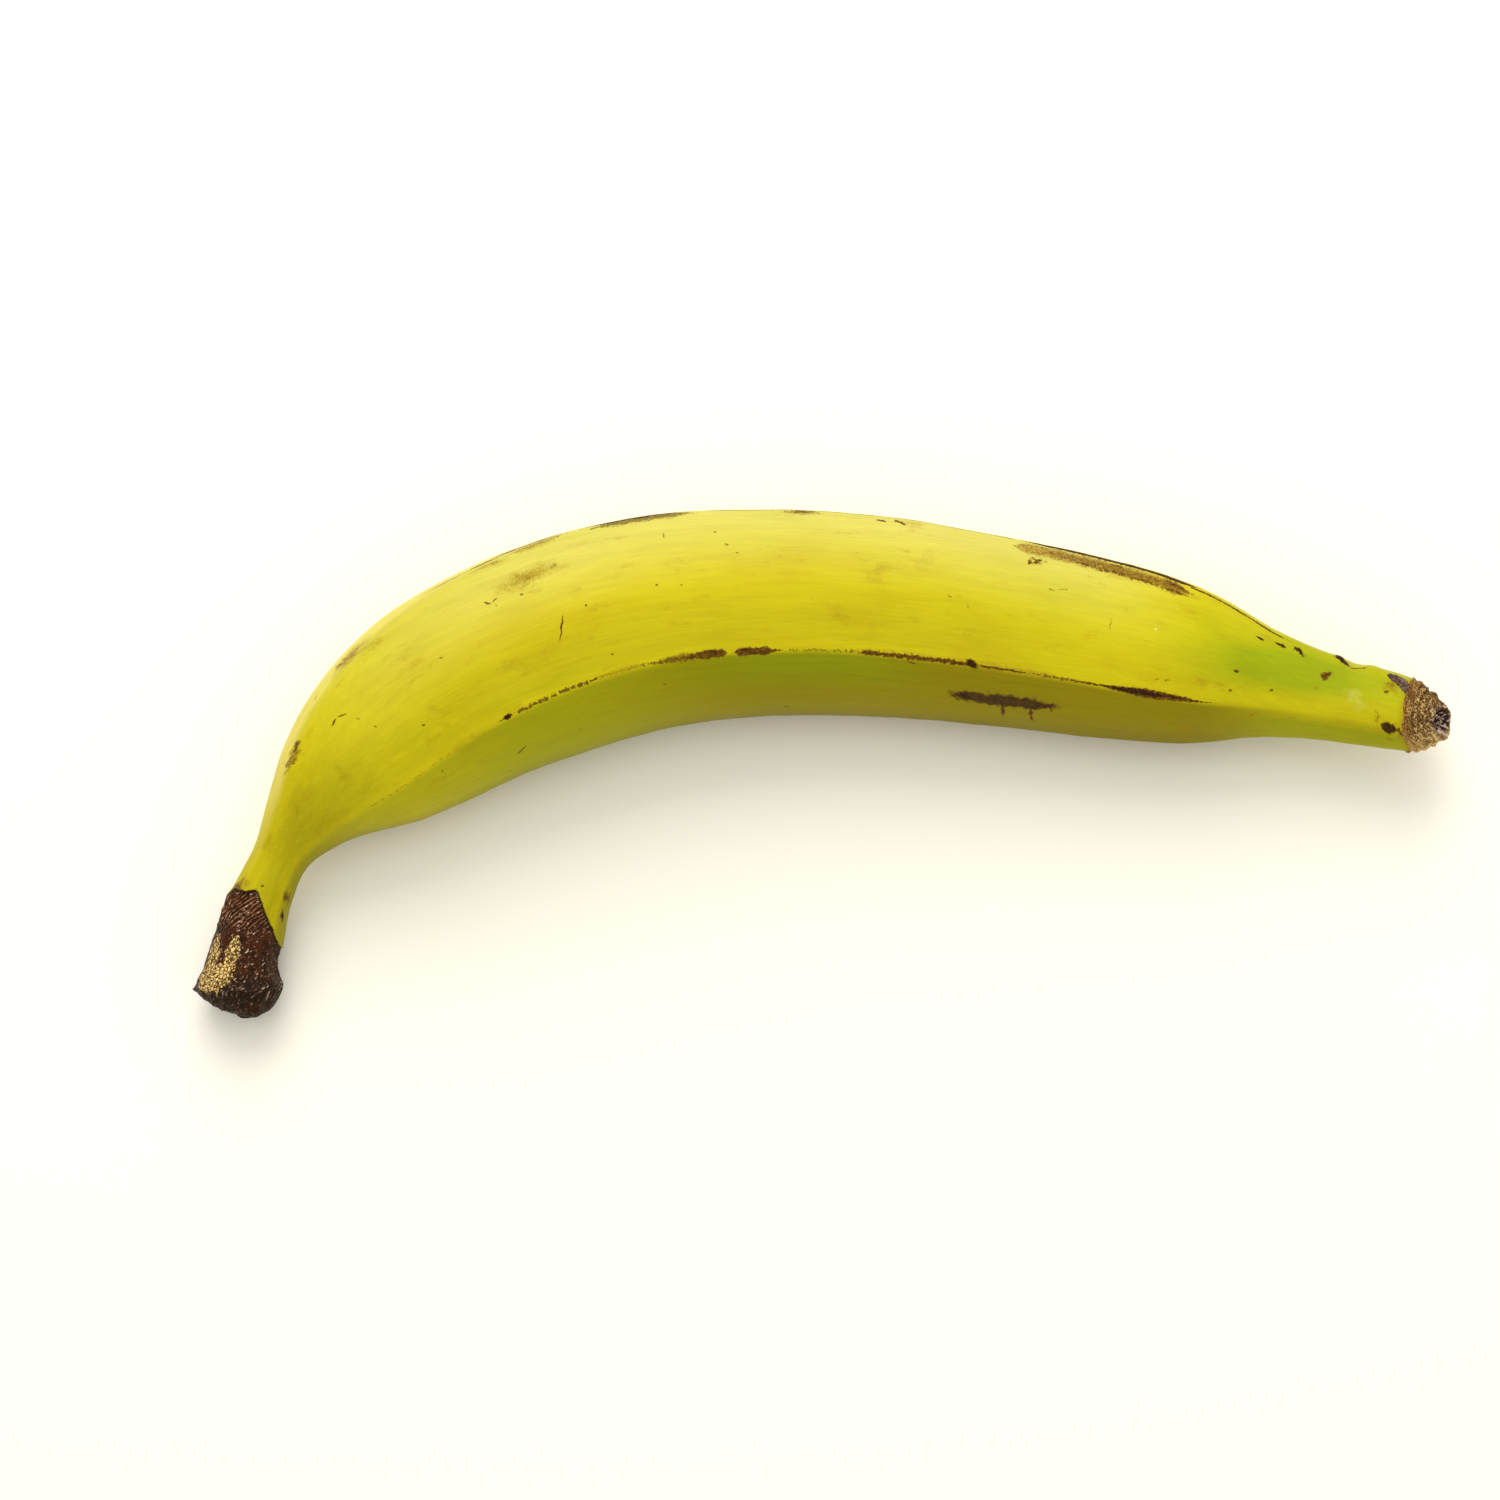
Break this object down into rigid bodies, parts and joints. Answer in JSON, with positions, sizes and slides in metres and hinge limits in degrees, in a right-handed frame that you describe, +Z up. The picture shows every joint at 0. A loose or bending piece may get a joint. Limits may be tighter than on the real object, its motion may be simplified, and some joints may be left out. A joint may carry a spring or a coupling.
{
  "type": "plantain",
  "caption": "Single picked plantain, yellow-green, curved and ridged, with a torn dark stem and a crusted blossom scar, lying on its side.",
  "frame": {"origin": "under the middle of the fruit's box, on the surface it lies on", "axes": "+X along the fruit towards the blossom tip, +Y towards the outer curve of its back, +Z up"},
  "size_m": [0.289, 0.1156, 0.0434],
  "materials": {
    "peel": "smooth waxy fruit peel, yellow with green faces and brown scuffs along its ridges, satin; dry dark stem and rough tan blossom scar"
  },
  "bodies": {
    "root": {"plantain": "peel"}
  },
  "joints": []
}
